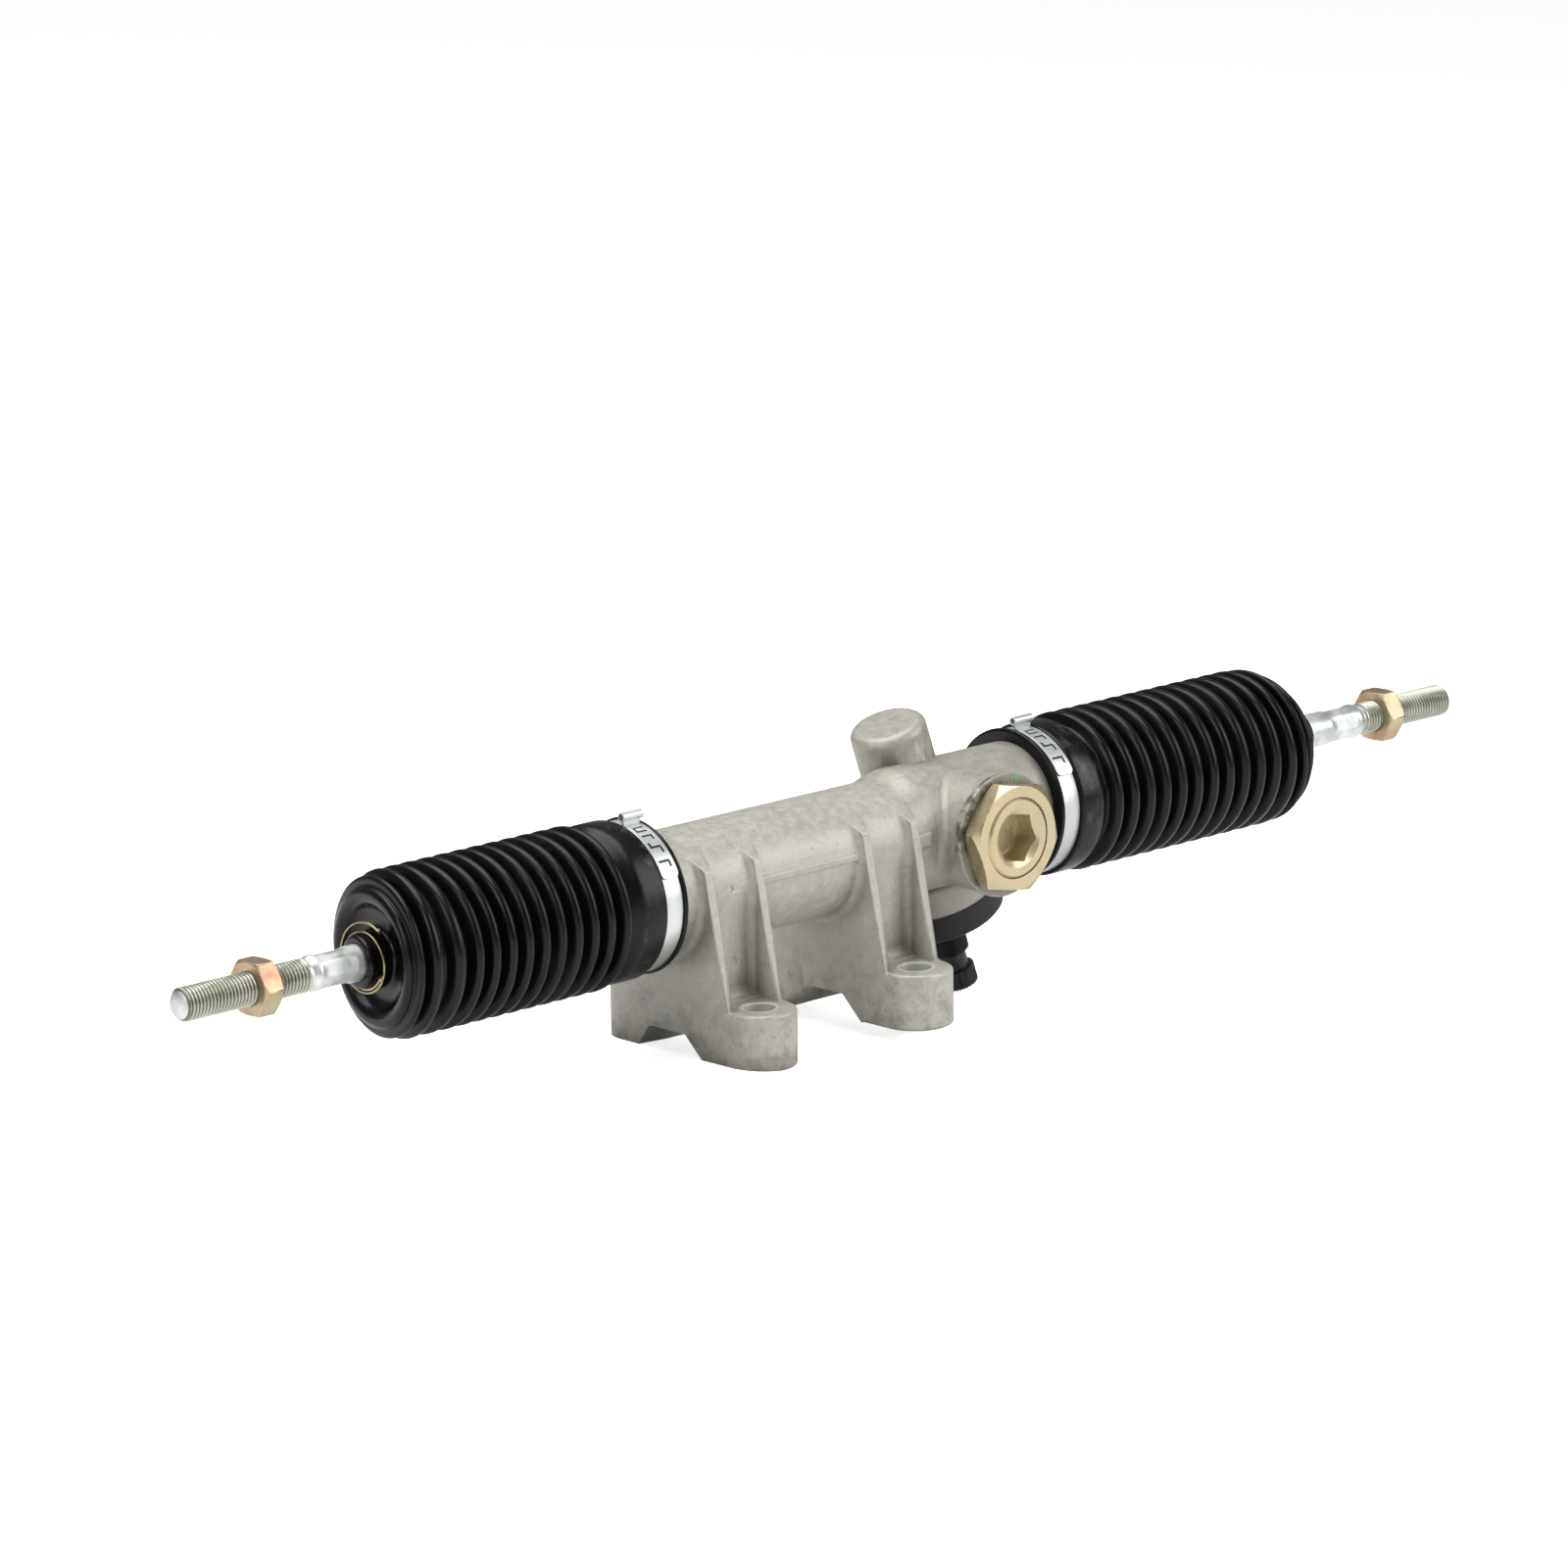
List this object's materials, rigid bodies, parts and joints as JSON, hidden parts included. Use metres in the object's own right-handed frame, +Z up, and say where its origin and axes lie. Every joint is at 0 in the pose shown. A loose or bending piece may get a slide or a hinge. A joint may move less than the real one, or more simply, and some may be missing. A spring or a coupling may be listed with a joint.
{
  "type": "steering rack",
  "caption": "Rack-and-pinion steering gear: cast housing with bolted feet, leaning pinion shaft, adjuster plug, ribbed bellows and threaded tie rods.",
  "frame": {"origin": "midway between the two front foot bolts, on the plane of the feet", "axes": "+X along the rack towards the end with the yoke and pinion, +Y away from the yoke plug, +Z up from the feet"},
  "size_m": [0.628, 0.0894, 0.1096],
  "materials": {
    "cast": "as-cast",
    "bronze": "satin",
    "polymer": "matte",
    "ground_steel": "ground",
    "black_steel": "satin",
    "bearing_steel": "polished",
    "black_rubber": "satin",
    "black_cap": "satin",
    "zinc": "bright zinc",
    "gold_zinc": "yellow zinc",
    "yellow_zinc": "iridescent zinc",
    "brass_wire": "satin",
    "spring_steel": "oiled"
  },
  "bodies": {
    "housing_body": {"housing": "cast", "rack_bush": "polymer", "pinion_top_bush": "bronze", "bearing_outer_ring": "bearing_steel", "seal_cap": "black_cap", "shaft_seal": "black_rubber", "yoke": "cast", "yoke_liner": "polymer", "yoke_ring": "black_rubber", "yoke_spring": "spring_steel", "yoke_plug": "gold_zinc", "yoke_lock_nut": "gold_zinc", "left_boot": "black_rubber", "right_boot": "black_rubber", "left_boot_clamp": "zinc", "right_boot_clamp": "zinc"},
    "rack": {"rack_bar": "ground_steel", "left_lock_ring": "zinc", "right_lock_ring": "zinc", "left_ball_socket": "zinc", "right_ball_socket": "zinc"},
    "pinion": {"pinion_shaft": "black_steel", "bearing_inner_ring": "bearing_steel", "bearing_circlip": "spring_steel"},
    "ball_cage": {"bearing_cage": "bronze", "bearing_balls": "bearing_steel"},
    "left_seat": {"left_ball_seat": "polymer"},
    "right_seat": {"right_ball_seat": "polymer"},
    "left_rod": {"left_tie_rod": "zinc", "left_jam_nut": "yellow_zinc", "left_neck_clip": "brass_wire"},
    "right_rod": {"right_tie_rod": "zinc", "right_jam_nut": "yellow_zinc", "right_neck_clip": "brass_wire"}
  },
  "joints": [
    {"name": "rack_slide", "type": "slide", "parent": "housing_body", "child": "rack", "axis": [1, 0, 0], "range_m": [-0.065, 0.035], "deforming": ["left_boot", "right_boot"]},
    {"name": "pinion_spin", "type": "hinge", "parent": "housing_body", "child": "pinion", "pos_m": [0.08785, 0.0517, 0.0595], "axis": [0.3256, 0, -0.9455], "range_deg": [-271.37, 503.55]},
    {"name": "cage_spin", "type": "hinge", "parent": "housing_body", "child": "ball_cage", "pos_m": [0.08785, 0.0517, 0.0595], "axis": [0.3256, 0, -0.9455], "range_deg": [-108.5, 201.08]},
    {"name": "left_joint_sweep", "type": "hinge", "parent": "rack", "child": "left_seat", "pos_m": [-0.13415, 0.0367, 0.0595], "axis": [0, 0, 1], "range_deg": [-15, 15]},
    {"name": "left_joint_swing", "type": "hinge", "parent": "left_seat", "child": "left_rod", "pos_m": [-0.13415, 0.0367, 0.0595], "axis": [0, 1, 0], "range_deg": [-15, 15]},
    {"name": "right_joint_sweep", "type": "hinge", "parent": "rack", "child": "right_seat", "pos_m": [0.22185, 0.0367, 0.0595], "axis": [0, 0, 1], "range_deg": [-15, 15]},
    {"name": "right_joint_swing", "type": "hinge", "parent": "right_seat", "child": "right_rod", "pos_m": [0.22185, 0.0367, 0.0595], "axis": [0, 1, 0], "range_deg": [-15, 15]}
  ],
  "couplings": [
    {"joint": "pinion_spin", "follows": "rack_slide", "rad_per_m": -135.07},
    {"joint": "cage_spin", "follows": "rack_slide", "rad_per_m": -53.857}
  ]
}
